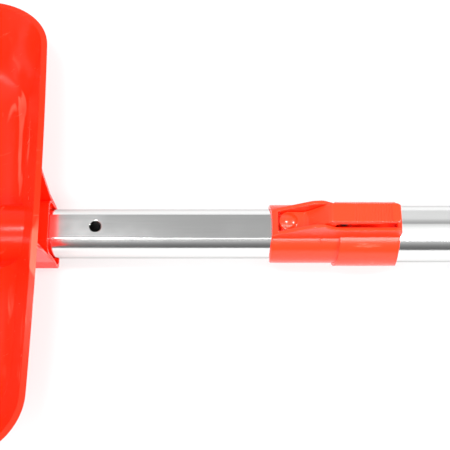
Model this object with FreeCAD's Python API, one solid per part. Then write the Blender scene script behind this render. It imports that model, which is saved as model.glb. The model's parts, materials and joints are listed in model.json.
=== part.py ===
import FreeCAD, Part
import math
import os

from FreeCAD import Base

# Telescopic snow shovel: a moulded scoop on a two-part aluminium shaft with a
# push-lever lock and a D-grip. Millimetres, +Z up, the shovel lies on its back.
# Everything is laid out in the shaft frame (X along the shaft towards the grip,
# origin on the shaft axis) and moved to the bottom centre of its box on saving.

# ---- shaft ----
lower_radius = 13.0          # outer radius of the lower tube
lower_wall = 1.2
flat_height = 11.2           # height of the guide flat over the shaft axis
lower_start = -152.0
lower_end = 166.0
upper_radius = 15.0
upper_wall = 1.0
upper_start = 60.0
upper_end = 298.0
slide_gap = 0.2              # collar bore over the lower tube

# ---- lock ----
hole_radius = 3.2
hole_pitch = 101.0
peg_x = 33.4
peg_radius = 2.8
peg_clear = 0.3              # peg tip over the flat, so the tubes slide freely
pivot_x = 50.0
pivot_z = 20.8
pivot_radius = 1.5
pin_reach = 6.8              # the pivot stops blind in the near cheek
lever_half = 5.1
lever_low = 19.0             # top of the lever over the peg
lever_high = 31.0            # top of the thumb plate
lever_end = 89.5
cheek_inner = 5.5
cheek_outer = 7.5
collar_start = 23.2
front_dip = 1.5              # how far the collar's front curves in over its width
collar_step = 57.0
collar_end = 91.0
end_bow = 1.2                # how far the collar's end curves out over its width
collar_small = 15.4
collar_large = 17.0
spring_x = 61.6
spring_radius = 2.5          # centre line of the coil
spring_wire = 0.4
spring_seat = 17.4

# ---- scoop ----
floor_top = -14.3
floor_bottom = -17.3         # lowest plane of the shovel
rim_height = 42.0            # rim over the shaft axis, at the middle of the rear wall
rim_sag = 15.25              # how much lower the rim is at the sides
rim_half = 130.9             # half width at the height of rim_height
rim_slope = 0.053            # fall of the rim per length towards the blade's tip
rear_x = -92.05              # rear edge of the rim
wall_lean = 0.33             # outward lean of the walls per height
wall = 3.1
corner = 32.1                # plan radius of the rim's corners
corner_grow = 0.3            # how much the corners open out per depth
floor_fillet = 30.0
tip_x = -357.0
tunnel_radius = 15.2
tunnel_end = -160.0
nose_end = -226.0

# ---- fasteners ----
scoop_screw_radius = 2.1
scoop_screw_x = (-121.0, -141.0)
grip_screw_radius = 1.7
grip_screw_x = (277.0, 289.0)
collar_pin_radius = 2.0
collar_pin_x = (67.0, 83.0)
pin_head = 3.6
pin_seat = -15.9             # underside of the collar pins' heads

# ---- grip ----
grip_start = 264.0
grip_end = 388.0
grip_half = 60.0
grip_thick = 26.0
neck_radius = 17.2
sleeve_radius = -floor_bottom
sleeve_half = 41.0


def vec(x, y, z):
    return Base.Vector(x, y, z)


def rounded_wire(points, radii):
    """Closed wire through the points with each corner rounded to its radius."""
    count = len(points)
    starts, mids, ends = [], [], []
    for i in range(count):
        here, before, after = points[i], points[i - 1], points[(i + 1) % count]
        back = (before - here).normalize()
        ahead = (after - here).normalize()
        half = back.getAngle(ahead) / 2
        radius = radii[i]
        if radius == 0:
            starts.append(here)
            mids.append(None)
            ends.append(here)
            continue
        reach = radius / math.tan(half)
        bisector = (back + ahead).normalize()
        starts.append(here + back * reach)
        mids.append(here + bisector * (radius / math.sin(half) - radius))
        ends.append(here + ahead * reach)
    edges = []
    for i in range(count):
        if mids[i] is not None:
            edges.append(Part.Arc(starts[i], mids[i], ends[i]).toShape())
        begin, finish = ends[i], starts[(i + 1) % count]
        if (finish - begin).Length > 1e-6:
            edges.append(Part.LineSegment(begin, finish).toShape())
    return Part.Wire(edges)


def prism(points, radii, along):
    """Solid of a rounded outline swept along a vector."""
    return Part.Face(rounded_wire(points, radii)).extrude(along)


def rod(radius, start, end):
    """Round bar between two points."""
    return Part.makeCylinder(radius, (end - start).Length, start, end - start)


def box(x0, x1, y0, y1, z0, z1):
    return Part.makeBox(x1 - x0, y1 - y0, z1 - z0, vec(x0, y0, z0))


def flat_round(radius, flat, x0, x1):
    """Bar along X with the lower tube's section: round with a flat on top."""
    bar = rod(radius, vec(x0, 0, 0), vec(x1, 0, 0))
    return bar.cut(box(x0 - 1, x1 + 1, -radius - 1, radius + 1, flat, radius + 1))


# ---- screws ----------------------------------------------------------------

def screw_blank(radius, head, depth, length):
    """Countersunk screw pointing up from the origin, before its head is slotted."""
    cone = Part.makeCone(head, radius, depth)
    shank = rod(radius, vec(0, 0, 0), vec(0, 0, length - 1.5))
    point = Part.makeCone(radius, radius * 0.35, 1.5, vec(0, 0, length - 1.5))
    return cone.fuse([shank, point])


def cross_slotted(blank, head):
    """The screw with a cross recess in its head."""
    slot = head * 0.55
    cross = [box(-slot, slot, -0.45, 0.45, -0.1, 1.2), box(-0.45, 0.45, -slot, slot, -0.1, 1.2)]
    return blank.cut(cross)


def at(shape, x, y, z, axis=None, angle=0.0):
    """Copy of a shape, turned about its own origin and moved to a place."""
    copy = shape.copy()
    if axis is not None:
        copy.rotate(vec(0, 0, 0), axis, angle)
    copy.translate(vec(x, y, z))
    return copy


scoop_blank = screw_blank(scoop_screw_radius, 4.2, 2.4, 12.0)
grip_blank = screw_blank(grip_screw_radius, 3.5, 2.0, 8.0)


# ---- scoop -----------------------------------------------------------------

def tray(inset, bottom):
    """Leaning-walled block of the blade, open towards the tip."""
    far = tip_x - 60.0
    wires = []
    for height in (bottom, rim_height + 8.0):
        grow = wall_lean * (height - rim_height) - inset
        half = rim_half + grow
        rear = rear_x + grow
        radius = corner + corner_grow * (rim_height - height) - inset
        points = [vec(far, -half, height), vec(rear, -half, height),
                  vec(rear, half, height), vec(far, half, height)]
        wires.append(rounded_wire(points, [0, radius, radius, 0]))
    block = Part.makeLoft(wires, True, True)
    base_edges = []
    for edge in block.Edges:
        centre = edge.BoundBox
        if centre.ZMax < bottom + 0.01 and centre.XMax > far + 1.0:
            base_edges.append(edge)
    return block.makeFillet(floor_fillet - inset * 0.6, base_edges)


def arch(half, top, x):
    """Arch-shaped outline standing on the blade's floor."""
    bottom = floor_bottom + 0.5
    radius = min(half, top - bottom) * 0.98
    points = [vec(x, -half, bottom), vec(x, half, bottom),
              vec(x, half, top), vec(x, -half, top)]
    return rounded_wire(points, [0, 0, radius, radius])


def floor_bead(y):
    """Low round-ended stiffening bead along the blade's floor."""
    radius = 6.0
    z = floor_top + 1.5 - radius
    near, far = vec(-150.0, y, z), vec(tip_x + 26.0, y, z)
    solids = [rod(radius, near, far), Part.makeSphere(radius, near), Part.makeSphere(radius, far)]
    above = box(tip_x, 0, y - 9.0, y + 9.0, floor_top - 1.0, floor_top + 4.0)
    return [solid.common(above) for solid in solids]


def make_scoop():
    outer = tray(0.0, floor_bottom)
    cavity = tray(wall, floor_top)

    # socket behind the rear wall, with its two gussets up to the rim
    mouth = [(-160.0, -20.0), (-89.0, -20.0), (-90.0, 0.0), (-91.6, 13.0),
             (rear_x - 0.8, rim_height + 3.0), (-160.0, rim_height + 3.0)]
    side = prism([vec(x, -40.0, z) for x, z in mouth], [0] * 6, vec(0, 80.0, 0))
    half = tunnel_radius
    socket = prism([vec(-160.0, -half, -half), vec(-160.0, half, -half),
                    vec(-160.0, half, half), vec(-160.0, -half, half)],
                   [4.0, 4.0, 7.0, 7.0], vec(90.0, 0, 0))
    behind = [socket]
    for sign in (-1, 1):
        points = [vec(-160.0, sign * 13.4, -2.0), vec(-160.0, sign * 15.2, -2.0),
                  vec(-160.0, sign * 22.0, rim_height + 3.0),
                  vec(-160.0, sign * 20.2, rim_height + 3.0)]
        behind.append(prism(points, [0] * 4, vec(90.0, 0, 0)))
    hood = behind[0].fuse(behind[1:]).common(side)
    shell = outer.fuse(hood).cut(cavity)

    # tunnel over the tube inside the blade, with a flat keel below, tapering to a nose
    tunnel = prism([vec(tunnel_end, -half, floor_bottom), vec(tunnel_end, half, floor_bottom),
                    vec(tunnel_end, half, half), vec(tunnel_end, -half, half)],
                   [0, 0, half * 0.98, half * 0.98], vec(-tunnel_end + rear_x - 12.0, 0, 0))
    nose = Part.makeLoft([arch(half, half, tunnel_end), arch(8.0, floor_top - 0.4, nose_end)], True, True)
    inside = [tunnel, nose]
    for y in (-78.0, -48.0, 48.0, 78.0):
        inside += floor_bead(y)
    shell = shell.fuse(inside)

    # hollows: the bore for the tube, its square mouth and the underside of the nose
    bore = flat_round(lower_radius + 0.1, flat_height + 0.1, lower_start - 1.0, -80.0)
    lip = 13.9
    step = -92.2
    square = prism([vec(step, -lip, -lip), vec(step, lip, -lip),
                    vec(step, lip, lip), vec(step, -lip, lip)], [5.0] * 4, vec(20.0, 0, 0))
    hollow = Part.makeLoft([arch(half - 3.0, half - 3.0, tunnel_end + 1.5),
                            arch(3.0, floor_top - 0.5, nose_end + 14.0)], True, True)
    hollow = hollow.fuse(hollow.translated(vec(0, 0, -2.0)))
    screws = [at(scoop_blank, x, 0, floor_bottom) for x in scoop_screw_x]
    shell = shell.cut([bore, square, hollow] + screws)

    # rim: a broad crowned cut, sloping down towards the tip, and a lower nose cut
    crown = (rim_half ** 2 + rim_sag ** 2) / (2 * rim_sag)
    top = vec(rear_x, 0, rim_height - crown)
    slope = vec(1, 0, rim_slope)
    barrel = Part.makeCylinder(crown, 900.0, top - slope.normalize() * 450.0, slope)
    shell = shell.common(barrel)
    ahead = [(tip_x - 40.0, -12.0), (tip_x, -9.0), (-190.0, 29.0), (-190.0, 90.0), (tip_x - 40.0, 90.0)]
    shell = shell.cut(prism([vec(x, -200.0, z) for x, z in ahead], [0] * 5, vec(0, 400.0, 0)))
    half = rim_half + 10.0
    plan = prism([vec(tip_x - 3.0, 0, -30.0), vec(tip_x + 16.0, -half, -30.0), vec(0, -half, -30.0),
                  vec(0, half, -30.0), vec(tip_x + 16.0, half, -30.0)],
                 [400.0, 50.0, 0, 0, 50.0], vec(0, 0, 100.0))
    return shell.common(plan).removeSplitter()


# ---- shaft -----------------------------------------------------------------

def make_lower_tube():
    tube = flat_round(lower_radius, flat_height, lower_start, lower_end)
    inner = flat_round(lower_radius - lower_wall, flat_height - lower_wall,
                       lower_start - 1.0, lower_end + 1.0)
    holes = []
    for step in (-1, 0, 1):
        x = peg_x + step * hole_pitch
        holes.append(rod(hole_radius, vec(x, 0, 0), vec(x, 0, 20.0)))
    for x in scoop_screw_x:
        holes.append(rod(scoop_screw_radius, vec(x, 0, -20.0), vec(x, 0, 0)))
    return tube.cut(inner).cut(holes)


def make_tube_core():
    """Plug in the tube's end that the scoop's screws bite into."""
    radius = lower_radius - lower_wall
    core = flat_round(radius, flat_height - lower_wall, lower_start, lower_start + 46.0)
    bores = [rod(4.0, vec(lower_start - 1.0, y, 3.0), vec(lower_start + 47.0, y, 3.0)) for y in (-5.4, 5.4)]
    core = core.cut(bores)
    screws = [at(scoop_blank, x, 0, floor_bottom) for x in scoop_screw_x]
    return core.cut(screws)


def make_guide_bushing():
    """Plastic plug in the lower tube's upper end; its flange runs in the upper tube."""
    radius = lower_radius - lower_wall
    plug = flat_round(radius, flat_height - lower_wall, lower_end - 14.0, lower_end)
    flange = rod(upper_radius - upper_wall - 0.08, vec(lower_end, 0, 0), vec(lower_end + 6.0, 0, 0))
    flange = flange.makeChamfer(0.6, [flange.Edges[0], flange.Edges[2]])
    bore = rod(7.0, vec(lower_end - 15.0, 0, 0), vec(lower_end + 3.5, 0, 0))
    vent = rod(2.0, vec(lower_end, 0, 0), vec(lower_end + 7.0, 0, 0))
    return plug.fuse(flange).cut([bore, vent])


def make_upper_tube():
    tube = rod(upper_radius, vec(upper_start, 0, 0), vec(upper_end, 0, 0))
    tube = tube.cut(rod(upper_radius - upper_wall, vec(upper_start - 1.0, 0, 0), vec(upper_end + 1.0, 0, 0)))
    holes = [rod(collar_pin_radius, vec(x, 0, -20.0), vec(x, 0, 0)) for x in collar_pin_x]
    holes += [rod(grip_screw_radius, vec(x, 0, -20.0), vec(x, 0, 0)) for x in grip_screw_x]
    return tube.cut(holes)


# ---- lock ------------------------------------------------------------------

def side_prism(points, radii, half):
    """Profile in the XZ plane given thickness symmetrically about the shaft."""
    return prism([vec(x, -half, z) for x, z in points], radii, vec(0, 2 * half, 0))


def make_collar():
    small = rod(collar_small, vec(collar_start, 0, 0), vec(collar_end - 1.0, 0, 0))
    front_edges = [edge for edge in small.Edges if edge.BoundBox.XMax < collar_start + 0.1]
    small = small.makeChamfer(0.9, front_edges)
    large = rod(collar_large, vec(collar_step - 8.0, 0, 0), vec(collar_end, 0, 0))
    large = large.makeFillet(1.4, [edge for edge in large.Edges if edge.BoundBox.XMin > collar_end - 0.1])
    step = [(collar_step - 0.8, -17.5), (collar_end + 2.0, -17.5),
            (collar_end + 2.0, 18.0), (collar_step + 2.9, 18.0)]
    large = large.common(side_prism(step, [0] * 4, 20.0))

    # frame: two cheeks carrying the pivot, joined by a wall at the front
    frame_points = [(collar_start, 0.0), (collar_end, 0.0), (collar_end, 23.8), (57.6, 23.8),
                    (pivot_x + 0.4, 28.6), (pivot_x - 5.0, 27.9), (28.0, 18.6), (collar_start, 14.8)]
    frame = side_prism(frame_points, [0, 0, 2.6, 7.0, 4.0, 8.0, 8.0, 1.0], cheek_outer)
    nub = Part.makeSphere(1.0, vec(49.4, -8.4, 12.4))
    pocket_points = [(27.6, 14.0), (55.0, 14.0), (58.0, 16.2), (88.6, 16.2), (88.6, 21.4),
                     (collar_end + 5.0, 21.4), (collar_end + 5.0, 35.0), (27.6, 35.0)]
    pocket = side_prism(pocket_points, [0] * 8, cheek_inner)
    body = small.fuse([large, frame, nub]).cut(pocket)

    seat = rod(4.2, vec(spring_x, 0, 15.6), vec(spring_x, 0, spring_seat))
    stud = rod(1.8, vec(spring_x, 0, 15.6), vec(spring_x, 0, 20.0))
    body = body.fuse([seat, stud])

    tube_bore = flat_round(lower_radius + slide_gap, flat_height + slide_gap,
                           collar_start - 1.0, upper_start + 1.0)
    upper_bore = rod(upper_radius, vec(upper_start, 0, 0), vec(collar_end + 1.0, 0, 0))
    reach = peg_radius + 0.5
    peg_hole = rod(reach, vec(peg_x, 0, 5.0), vec(peg_x, 0, 20.0))
    swing = 1.1
    peg_hole = peg_hole.fuse([rod(reach, vec(peg_x - swing, 0, 5.0), vec(peg_x - swing, 0, 20.0)),
                              box(peg_x - swing, peg_x, -reach, reach, 5.0, 20.0)])
    pin_hole = rod(pivot_radius, vec(pivot_x, -pin_reach, pivot_z), vec(pivot_x, 20.0, pivot_z))
    curve = (collar_small ** 2 + front_dip ** 2) / (2 * front_dip)
    front = Part.makeCylinder(curve, 80.0, vec(collar_start + front_dip - curve, 0, -40.0))
    curve = (collar_large ** 2 + end_bow ** 2) / (2 * end_bow)
    body = body.common(Part.makeCylinder(curve, 80.0, vec(collar_end - curve, 0, -40.0)))
    cuts = [tube_bore, upper_bore, peg_hole, pin_hole, front]
    for x in collar_pin_x:
        cuts.append(rod(collar_pin_radius, vec(x, 0, -20.0), vec(x, 0, 0)))
        cuts.append(rod(pin_head, vec(x, 0, -20.0), vec(x, 0, pin_seat)))
    return body.cut(cuts)


def make_collar_pins():
    """Two drive pins that hold the collar on the upper tube."""
    pins = []
    for x in collar_pin_x:
        shank = rod(collar_pin_radius, vec(x, 0, pin_seat), vec(x, 0, upper_wall - upper_radius))
        head = rod(pin_head, vec(x, 0, pin_seat - 1.0), vec(x, 0, pin_seat))
        head = head.makeFillet(0.4, [edge for edge in head.Edges if edge.BoundBox.ZMax < pin_seat - 0.9])
        pins.append(head.fuse(shank))
    return Part.makeCompound(pins)


def make_lever():
    """Rocker: round toe over the peg, ramp, and a hollow thumb plate."""
    toe = peg_x - lever_half
    low, high = lever_low, lever_high
    below = [(toe, 15.6), (44.0, 15.6), (47.5, 17.2), (53.0, 17.2),
             (57.6, 27.3), (79.4, 27.5), (80.0, 28.7), (lever_end, 28.9)]
    above = [(lever_end, high - 0.2), (70.0, high - 0.5), (54.0, high), (41.8, low), (toe, low)]
    radii = [0, 3.0, 2.0, 2.0, 1.5, 0.4, 0.4, 0.8, 0.8, 60.0, 4.0, 5.0, 0]
    body = side_prism(below + above, radii, lever_half)
    length = prism([vec(peg_x, -lever_half, 10.0), vec(lever_end, -lever_half, 10.0),
                    vec(lever_end, lever_half, 10.0), vec(peg_x, lever_half, 10.0)],
                   [0, 2.4, 2.4, 0], vec(0, 0, 30.0))
    ends = length.fuse(rod(lever_half, vec(peg_x, 0, 10.0), vec(peg_x, 0, 40.0)))
    body = body.common(ends)

    hollow = [(60.0, 15.0), (lever_end - 12.0, 15.0), (lever_end - 12.0, high - 2.2), (60.0, high - 2.2)]
    body = body.cut(side_prism(hollow, [0, 0, 0.5, 0.5], lever_half - 1.7))
    dome = Part.makeSphere(6.4, vec(peg_x - 0.2, 0, low - 4.6))
    dome = dome.common(box(peg_x - 8.0, peg_x + 8.0, -8.0, 8.0, low - 1.0, low + 4.0))
    boss = rod(3.3, vec(spring_x, 0, high - 4.2), vec(spring_x, 0, high - 2.0))
    stud = rod(1.8, vec(spring_x, 0, high - 6.4), vec(spring_x, 0, high - 2.0))
    body = body.fuse([dome.common(ends), boss, stud])

    grooves = []
    for i in range(14):
        x = 66.4 + i * 1.4
        grooves.append(rod(0.4, vec(x, -8.0, high - 0.18), vec(x, 8.0, high - 0.18)))
    pin = rod(pivot_radius + 0.05, vec(pivot_x, -8.0, pivot_z), vec(pivot_x, 8.0, pivot_z))
    peg = rod(peg_radius, vec(peg_x, 0, 5.0), vec(peg_x, 0, lever_low - 1.0))
    return body.cut(grooves + [pin, peg])


def make_peg():
    tip = flat_height + peg_clear
    peg = rod(peg_radius, vec(peg_x, 0, tip), vec(peg_x, 0, lever_low - 1.0))
    return peg.makeChamfer(0.5, [edge for edge in peg.Edges if edge.BoundBox.ZMax < tip + 0.1])


def make_pivot_pin():
    pin = rod(pivot_radius, vec(pivot_x, -pin_reach, pivot_z), vec(pivot_x, cheek_outer, pivot_z))
    return pin.makeChamfer(0.3, [edge for edge in pin.Edges if edge.Closed])


def make_spring():
    """Compression spring between the collar's seat and the thumb plate."""
    bottom = spring_seat + spring_wire + 0.15
    top = lever_high - 4.2 - spring_wire - 0.15
    coil = Part.makeHelix((top - bottom) / 5.0, top - bottom, spring_radius)
    section = Part.Wire(Part.makeCircle(spring_wire, vec(spring_radius, 0, 0), vec(0, 1, 0)))
    spring = Part.Wire(coil).makePipeShell([section], True, True)
    return at(spring, spring_x, 0, bottom)


# ---- grip ------------------------------------------------------------------

def make_grip():
    """D-grip: a socket over the upper tube, two arms and a bar across."""
    back = grip_end - 3.7
    fork = grip_start + 26.0
    half = grip_half
    outside = [(fork, -14.0), (fork + 6.0, -17.0), (fork + 36.0, -half + 3.0),
               (back - 14.0, -half), (back, -half + 8.0)]
    outside += [(x, -y) for x, y in reversed(outside)]
    radii = [0, 14.0, 30.0, 12.0, 12.0]
    radii += radii[::-1]
    inside = [(fork + 21.0, -6.0), (fork + 51.0, -half + 17.0), (back - 26.0, -half + 16.0)]
    inside += [(x, -y) for x, y in reversed(inside)]
    inner_radii = [7.0, 9.0, 8.0]
    inner_radii += inner_radii[::-1]
    low = -grip_thick / 2
    plate = prism([vec(x, y, low) for x, y in outside], radii, vec(0, 0, grip_thick))
    hole = prism([vec(x, y, low - 5.0) for x, y in inside], inner_radii, vec(0, 0, grip_thick + 10.0))
    frame = plate.cut(hole)
    rims = []
    for edge in frame.Edges:
        reach = edge.BoundBox
        if reach.ZMax - reach.ZMin < 0.1 and reach.XMax > fork + 0.1:
            rims.append(edge)
    frame = frame.makeFillet(7.0, rims)
    neck = rod(neck_radius, vec(grip_start, 0, 0), vec(fork + 8.0, 0, 0))
    neck = neck.makeFillet(1.5, [edge for edge in neck.Edges if edge.BoundBox.XMax < grip_start + 0.1])
    taper = Part.makeCone(neck_radius, 12.0, 11.0, vec(fork + 8.0, 0, 0), vec(1, 0, 0))
    body = frame.fuse([neck, taper])
    cuts = [rod(upper_radius, vec(grip_start - 1.0, 0, 0), vec(upper_end, 0, 0))]
    cuts += [at(grip_blank, x, 0, -neck_radius + 0.2) for x in grip_screw_x]
    cuts += [rod(3.6, vec(x, 0, -20.0), vec(x, 0, -neck_radius + 0.2)) for x in grip_screw_x]
    return body.cut(cuts)


def make_sleeve(grip):
    """Soft sleeve around the bar of the grip."""
    x = grip_end - sleeve_radius
    sleeve = rod(sleeve_radius, vec(x, -sleeve_half, 0), vec(x, sleeve_half, 0))
    sleeve = sleeve.makeFillet(3.0, [edge for edge in sleeve.Edges if edge.Closed])
    return sleeve.cut(grip)


scoop_screw = cross_slotted(scoop_blank, 4.2)
grip_screw = cross_slotted(grip_blank, 3.5)
grip = make_grip()
nodes = {
    "scoop": make_scoop(),
    "lower_tube": make_lower_tube(),
    "tube_core": make_tube_core(),
    "scoop_screws": Part.makeCompound([at(scoop_screw, x, 0, floor_bottom) for x in scoop_screw_x]),
    "guide_bushing": make_guide_bushing(),
    "upper_tube": make_upper_tube(),
    "latch_collar": make_collar(),
    "collar_pins": make_collar_pins(),
    "latch_lever": make_lever(),
    "locking_peg": make_peg(),
    "pivot_pin": make_pivot_pin(),
    "latch_spring": make_spring(),
    "grip_frame": grip,
    "grip_sleeve": make_sleeve(grip),
    "grip_screws": Part.makeCompound([at(grip_screw, x, 0, -neck_radius + 0.2) for x in grip_screw_x]),
}


# The frame's origin is the bottom centre of the whole shovel's box.
bounds = Part.makeCompound(list(nodes.values())).optimalBoundingBox()
origin = vec(-(bounds.XMin + bounds.XMax) / 2, -(bounds.YMin + bounds.YMax) / 2, -bounds.ZMin)
print("moved by", origin)

os.makedirs("parts", exist_ok=True)
for name, shape in nodes.items():
    placed = shape.translated(origin)
    placed.exportStep("parts/" + name + ".step")
    print(name, placed.isValid(), len(placed.Solids), round(placed.Volume / 1000.0, 2))
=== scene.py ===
import json
import math

import bpy
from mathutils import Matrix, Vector


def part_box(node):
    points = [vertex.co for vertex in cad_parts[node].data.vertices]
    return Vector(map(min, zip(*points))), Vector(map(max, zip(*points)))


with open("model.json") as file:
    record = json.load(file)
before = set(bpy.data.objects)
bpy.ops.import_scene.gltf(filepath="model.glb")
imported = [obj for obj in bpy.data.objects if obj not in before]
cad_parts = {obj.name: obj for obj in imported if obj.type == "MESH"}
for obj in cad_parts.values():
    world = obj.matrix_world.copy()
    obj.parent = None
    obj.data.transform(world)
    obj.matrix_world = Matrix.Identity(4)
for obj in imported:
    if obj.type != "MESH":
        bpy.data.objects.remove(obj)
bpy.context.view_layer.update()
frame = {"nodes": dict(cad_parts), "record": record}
scene = bpy.context.scene
nodes = frame["nodes"]
print("frame loaded:", len(nodes), "nodes")

tubeLow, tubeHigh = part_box("upper_tube")
shaftHeight = (tubeLow.z + tubeHigh.z) / 2  # the shaft's axis over the floor
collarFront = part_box("latch_collar")[0].x


class Value:  # a socket that takes part in sums
    def __init__(self, maker, socket):
        self.maker = maker
        self.socket = socket

    def maths(self, operation, other):
        return self.maker.node("Math", {"operation": operation}, {0: self, 1: other})

    def __add__(self, other):
        return self.maths("ADD", other)

    def __mul__(self, other):
        return self.maths("MULTIPLY", other)

    __radd__ = __add__
    __rmul__ = __mul__


class NodeMaker:  # makes and joins the nodes of one tree
    def __init__(self, tree):
        self.tree = tree

    def node(self, kind, settings=None, sockets=None, out=0):
        made = self.tree.nodes.new("ShaderNode" + kind)
        for key, value in (settings or {}).items():
            if key == "stops":
                self.setStops(made.color_ramp, value)
            else:
                setattr(made, key, value)
        for key, value in (sockets or {}).items():
            self.plug(made.inputs[key], value)
        return Value(self, made.outputs[out])

    def setStops(self, ramp, stops):
        while len(ramp.elements) < len(stops):
            ramp.elements.new(0.5)
        for element, (place, tone) in zip(ramp.elements, stops):
            element.position = place
            element.color = (*tone[:3], 1.0)

    def plug(self, socket, value):
        if isinstance(value, Value):
            self.tree.links.new(value.socket, socket)
        else:
            socket.default_value = value

    def place(self, scale=(1, 1, 1), turn=(0, 0, 0)):
        coords = self.node("TexCoord", out="Object")
        return self.node("Mapping", {}, {"Vector": coords, "Scale": scale, "Rotation": turn})

    def noise(self, where, scale, detail=2.0, rough=0.5, twist=0.0):
        return self.node("TexNoise", {}, {"Vector": where, "Scale": scale, "Detail": detail,
                                          "Roughness": rough, "Distortion": twist}, "Fac")

    def ramp(self, value, *stops):
        return self.node("ValToRGB", {"stops": stops}, {"Fac": value}, "Color")

    def remap(self, value, low, high, toLow=0.0, toHigh=1.0):
        return self.node("MapRange", {}, {"Value": value, "From Min": low, "From Max": high,
                                          "To Min": toLow, "To Max": toHigh}, "Result")

    def vary(self, value, middle, share):  # middle, give or take a share of it, as the noise goes
        return self.remap(value, 0.3, 0.7, middle * (1 - share), middle * (1 + share))

    def mixColour(self, factor, first, second):
        return self.node("Mix", {"data_type": "RGBA"}, {"Factor": factor, 6: first, 7: second}, 2)

    def bump(self, height, depth, normal):
        return self.node("Bump", {}, {"Height": height, "Distance": depth, "Normal": normal}, "Normal")

    def softEdge(self, radius):
        return self.node("Bevel", {"samples": 6}, {"Radius": radius}, "Normal")


class Shader(NodeMaker):  # a new material and its principled surface
    def __init__(self, name):
        self.material = bpy.data.materials.new(name)
        self.material.use_nodes = True
        super().__init__(self.material.node_tree)
        self.surface = next(n for n in self.tree.nodes if n.type == "BSDF_PRINCIPLED")

    def give(self, **sockets):  # sockets of the surface, spaces written as underscores
        for key, value in sockets.items():
            self.plug(self.surface.inputs[key.replace("_", " ")], value)


def rgba(red, green, blue):
    return (red, green, blue, 1.0)


# moulded plastic: slow waves from the mould, fine orange peel, faint scuffs, and pale streaks of painted
# highlight
scoopLook = {
    "colour": rgba(1.0, 0.019, 0.004), "shade": rgba(0.98, 0.015, 0.003), "scuffAndHighlight": rgba(1.0, 0.20, 0.13),
    "rough": 0.20, "specular": 0.17, "edge": 0.00035, "waveScale": 26.0, "waveStretch": (1.0, 0.45, 1.0),
    "waveDepth": 0.0007, "peelScale": 900.0, "peelDepth": 0.00003, "highlightStreaks": 0.35,
}
lockLook = {
    "colour": rgba(1.0, 0.037, 0.009), "shade": rgba(0.98, 0.031, 0.007), "scuffAndHighlight": rgba(1.0, 0.25, 0.16),
    "rough": 0.19, "specular": 0.50, "edge": 0.0008, "waveScale": 60.0, "waveStretch": (1.0, 1.0, 1.0),
    "waveDepth": 0.0001, "peelScale": 1400.0, "peelDepth": 0.00004, "highlightStreaks": 0.0,
}
plasticWearAndHighlights = {
    "cloud": {"scale": 14.0, "detail": 3.0, "rough": 0.55},
    "roughShare": 0.15,
    "scuffs": {"scale": 90.0, "detail": 4.0, "rough": 0.7},
    "scuffStretch": (0.35, 4.0, 1.0), "scuffTurn": 0.5, "scuffFrom": 0.62, "scuffTo": 0.72,
    "scuffTint": 0.12, "scuffRough": 0.1,
    # painted highlight: pale streaks that stand in for reflections of the strip lights on the scoop
    "highlightStreakNoise": {"scale": 60.0, "detail": 2.0, "rough": 0.5, "twist": 1.2},
    "highlightStreakStretch": (1.0, 0.28, 1.0), "highlightStreakTurn": -0.5, "highlightStreakFrom": 0.60, "highlightStreakTo": 0.65,
    "patchFrom": 0.48, "patchTo": 0.58,  # the painted highlight streaks keep to patches of the cloud
}


def mouldedPlastic(name, look, wear):
    shader = Shader(name)
    here = shader.place()
    waves = shader.noise(shader.place(look["waveStretch"]), look["waveScale"], 1.5, 0.45, 0.6)
    peel = shader.noise(here, look["peelScale"], 3.0, 0.6)
    cloud = shader.noise(here, **wear["cloud"])
    scuffs = shader.noise(shader.place(wear["scuffStretch"], (0, 0, wear["scuffTurn"])), **wear["scuffs"])
    scuffMask = shader.remap(scuffs, wear["scuffFrom"], wear["scuffTo"])
    highlightStreakNoise = shader.noise(shader.place(wear["highlightStreakStretch"], (0, 0, wear["highlightStreakTurn"])), **wear["highlightStreakNoise"])
    highlightStreakMask = shader.remap(highlightStreakNoise, wear["highlightStreakFrom"], wear["highlightStreakTo"])
    highlightStreakMask = highlightStreakMask * shader.remap(cloud, wear["patchFrom"], wear["patchTo"])
    colour = shader.mixColour(cloud, look["colour"], look["shade"])
    colour = shader.mixColour(scuffMask * wear["scuffTint"], colour, look["scuffAndHighlight"])
    # painted highlight: pale streaks in the scuff colour, where the strip lights would glance off the
    # scoop
    colour = shader.mixColour(highlightStreakMask * look["highlightStreaks"], colour, look["scuffAndHighlight"])
    rough = shader.vary(cloud, look["rough"], wear["roughShare"]) + scuffMask * wear["scuffRough"]
    normal = shader.bump(waves, look["waveDepth"], shader.softEdge(look["edge"]))
    normal = shader.bump(peel, look["peelDepth"], normal)
    shader.give(Base_Color=colour, Roughness=rough, Normal=normal)
    shader.give(Specular_IOR_Level=look["specular"])
    return shader.material


# anodised tube: drawn along its length, with a darker glance at its edges
tubeLook = {
    "light": rgba(0.86, 0.865, 0.86), "dark": rgba(0.82, 0.825, 0.82), "glance": rgba(0.60, 0.60, 0.60),
    "rough": 0.14, "roughShare": 0.2, "hazeRough": 0.05, "edge": 0.0003,
    "lineScale": 1100.0, "lineStretch": (0.02, 1.0, 1.0), "lineDepth": 0.0000025,
    "broadScale": 60.0, "broadStretch": (0.15, 1.0, 1.0), "hazeScale": 30.0,
}


def tubeMetal(name, look):
    shader = Shader(name)
    drawn = shader.noise(shader.place(look["lineStretch"]), look["lineScale"], 4.0, 0.65)
    broad = shader.noise(shader.place(look["broadStretch"]), look["broadScale"])
    haze = shader.noise(shader.place(), look["hazeScale"], 3.0, 0.6)
    colour = shader.ramp(drawn, (0.3, look["dark"]), (0.7, look["light"]))
    rough = shader.vary(broad, look["rough"], look["roughShare"])
    rough = rough + shader.remap(haze, 0.5, 0.8, 0.0, look["hazeRough"])
    normal = shader.bump(drawn, look["lineDepth"], shader.softEdge(look["edge"]))
    shader.give(Base_Color=colour, Roughness=rough, Metallic=1.0, Normal=normal)
    shader.give(Specular_Tint=look["glance"])
    return shader.material


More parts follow.
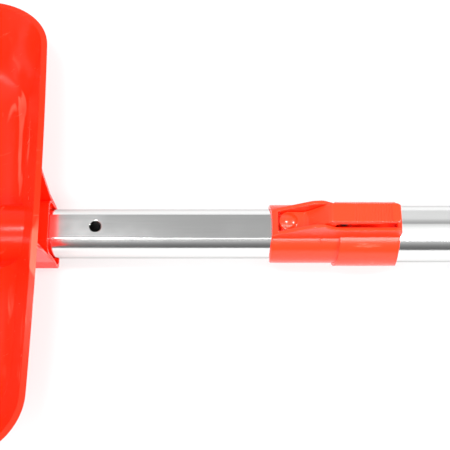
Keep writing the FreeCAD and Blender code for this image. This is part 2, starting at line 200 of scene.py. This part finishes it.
# steel of the fasteners, and the blackened steel of the spring
steelLook = {
    "light": rgba(0.66, 0.66, 0.66), "dark": rgba(0.50, 0.50, 0.50), "smooth": 0.24, "dull": 0.4,
    "grainScale": 700.0, "grainDepth": 0.00001, "edge": 0.0002,
}
blackSteelLook = {**steelLook, "light": rgba(0.0792, 0.0792, 0.0792), "dark": rgba(0.06, 0.06, 0.06)}


def steel(name, look):
    shader = Shader(name)
    grain = shader.noise(shader.place(), look["grainScale"], 3.0, 0.6)
    colour = shader.ramp(grain, (0.3, look["dark"]), (0.7, look["light"]))
    rough = shader.remap(grain, 0.3, 0.7, look["smooth"], look["dull"])
    normal = shader.bump(grain, look["grainDepth"], shader.softEdge(look["edge"]))
    shader.give(Base_Color=colour, Roughness=rough, Metallic=1.0, Normal=normal)
    return shader.material


# black pieces: the sleeve of the grip and the plugs inside the tube
sleeveLook = {
    "dark": rgba(0.028, 0.028, 0.03), "light": rgba(0.0448, 0.0448, 0.048), "smooth": 0.55, "dull": 0.72,
    "cloudScale": 25.0, "grainScale": 1600.0, "grainDepth": 0.00006, "edge": 0.0004,
}
plugLook = {**sleeveLook, "dark": rgba(0.03, 0.03, 0.032), "light": rgba(0.048, 0.048, 0.0512)}


def softBlack(name, look):
    shader = Shader(name)
    grain = shader.noise(shader.place(), look["grainScale"], 2.0, 0.6)
    cloud = shader.noise(shader.place(), look["cloudScale"], 3.0, 0.6)
    colour = shader.ramp(cloud, (0.3, look["dark"]), (0.75, look["light"]))
    rough = shader.remap(cloud, 0.3, 0.7, look["smooth"], look["dull"])
    normal = shader.bump(grain, look["grainDepth"], shader.softEdge(look["edge"]))
    shader.give(Base_Color=colour, Roughness=rough, Normal=normal)
    return shader.material


finishes = {
    "scoop_plastic": mouldedPlastic("scoopPlastic", scoopLook, plasticWearAndHighlights),
    "lock_plastic": mouldedPlastic("lockPlastic", lockLook, plasticWearAndHighlights),
    "grip_plastic": mouldedPlastic("gripPlastic", lockLook, plasticWearAndHighlights),
    "tube_aluminium": tubeMetal("tubeAluminium", tubeLook),
    "inner_plastic": softBlack("innerPlastic", plugLook),
    "screw_steel": steel("screwSteel", steelLook),
    "spring_steel": steel("springSteel", blackSteelLook),
    "grip_rubber": softBlack("gripRubber", sleeveLook),
}
for part in frame["record"]["subparts"]:
    mesh = nodes[part["node"]].data
    mesh.materials.clear()
    mesh.materials.append(finishes[part["material_slot"]])
print("finishes given")

# plain studio floor, pale and evenly lit
floorLook = {
    "size": 40.0, "paint": rgba(0.24, 0.24, 0.24), "worn": rgba(0.22, 0.22, 0.22), "rough": 0.8,
    "wearScale": 3.0, "glow": 0.64,
}


def makeFloor(look):
    bpy.ops.object.select_all(action="DESELECT")
    bpy.ops.mesh.primitive_plane_add(size=look["size"])
    floor = bpy.context.object
    floor.name = "studioFloor"
    shader = Shader("studioFloorPaint")
    wear = shader.noise(shader.place(), look["wearScale"])
    shader.give(Base_Color=shader.mixColour(wear, look["paint"], look["worn"]), Roughness=look["rough"])
    shader.give(Emission_Color=rgba(1.0, 1.0, 1.0), Emission_Strength=look["glow"])
    floor.data.materials.append(shader.material)


# two small lamps over the lever's domed toe, leaning along the shaft by these degrees
lampLook = {
    "leans": {"lampLeft": -20.0, "lampRight": 39.0},
    "toePlace": 0.0097,  # the toe, behind the collar's front
    "reach": 0.45, "sideways": 0.02, "size": 0.075, "radiance": 72.0,
}


def hangLamps(look):
    toe = Vector((collarFront + look["toePlace"], 0, shaftHeight))
    for name, degrees in look["leans"].items():
        lean = math.radians(degrees)
        lamp = bpy.data.lights.new(name, "AREA")
        lamp.size = look["size"]
        lamp.energy = look["radiance"] * math.pi * look["size"] ** 2
        holder = bpy.data.objects.new(name, lamp)
        scene.collection.objects.link(holder)
        holder.location = toe + look["reach"] * Vector((math.sin(lean), look["sideways"], math.cos(lean)))
        holder.rotation_euler = (toe - holder.location).to_track_quat("-Z", "Y").to_euler()


# the studio's air: its brightness by the degrees from straight up towards the front
airLook = {
    "strength": 9.0,
    "bands": [(-89, 0.85), (-46, 0.85), (-38, 0.70), (-29, 0.42), (-20, 0.41), (-11, 0.90), (0, 1.15),
              (29, 1.15), (33, 9.0), (44, 9.0), (48, 0.62), (60, 0.40), (70, 0.24), (80, 0.16)],
}


def fillAir(look):
    scene.world = bpy.data.worlds.new("studioAir")
    scene.world.use_nodes = True
    air = NodeMaker(scene.world.node_tree)
    direction = air.node("TexCoord", out="Generated")
    depth = air.node("SeparateXYZ", {}, {"Vector": direction}, "Y")
    height = air.node("SeparateXYZ", {}, {"Vector": direction}, "Z")
    lean = air.node("Math", {"operation": "ARCTAN2"}, {0: depth * -1.0, 1: height})
    stops = [((degrees + 90) / 180, (level / look["strength"],) * 3) for degrees, level in look["bands"]]
    fill = air.tree.nodes["Background"]
    air.plug(fill.inputs["Color"], air.ramp(air.remap(lean, -math.pi / 2, math.pi / 2), *stops))
    air.plug(fill.inputs["Strength"], look["strength"])


makeFloor(floorLook)
hangLamps(lampLook)
fillAir(airLook)
scene.view_settings.view_transform = "Standard"
print("floor, lamps and air made")

# camera: looks down at the lock's side of the shaft, a little from the front
cameraLook = {
    "tilt": math.radians(21.1),  # from straight down
    "distance": 0.624,
    "fieldWidth": 0.2388,  # what the frame spans at the shaft
    "before": 0.0232,  # aim point, along the shaft before the collar's front
    "above": 0.00472,  # aim point, over the shaft in the frame
}


def aimCamera(look):
    outward = Vector((0, -math.sin(look["tilt"]), math.cos(look["tilt"])))
    upward = Vector((0, math.cos(look["tilt"]), math.sin(look["tilt"])))
    target = Vector((collarFront - look["before"], 0, shaftHeight)) + upward * look["above"]
    lens = bpy.data.cameras.new("shovelCamera")
    lens.lens = lens.sensor_width * look["distance"] / look["fieldWidth"]
    camera = bpy.data.objects.new("shovelCamera", lens)
    scene.collection.objects.link(camera)
    camera.location = target + outward * look["distance"]
    camera.rotation_euler = outward.to_track_quat("Z", "Y").to_euler()
    scene.camera = camera


aimCamera(cameraLook)
print("camera placed")
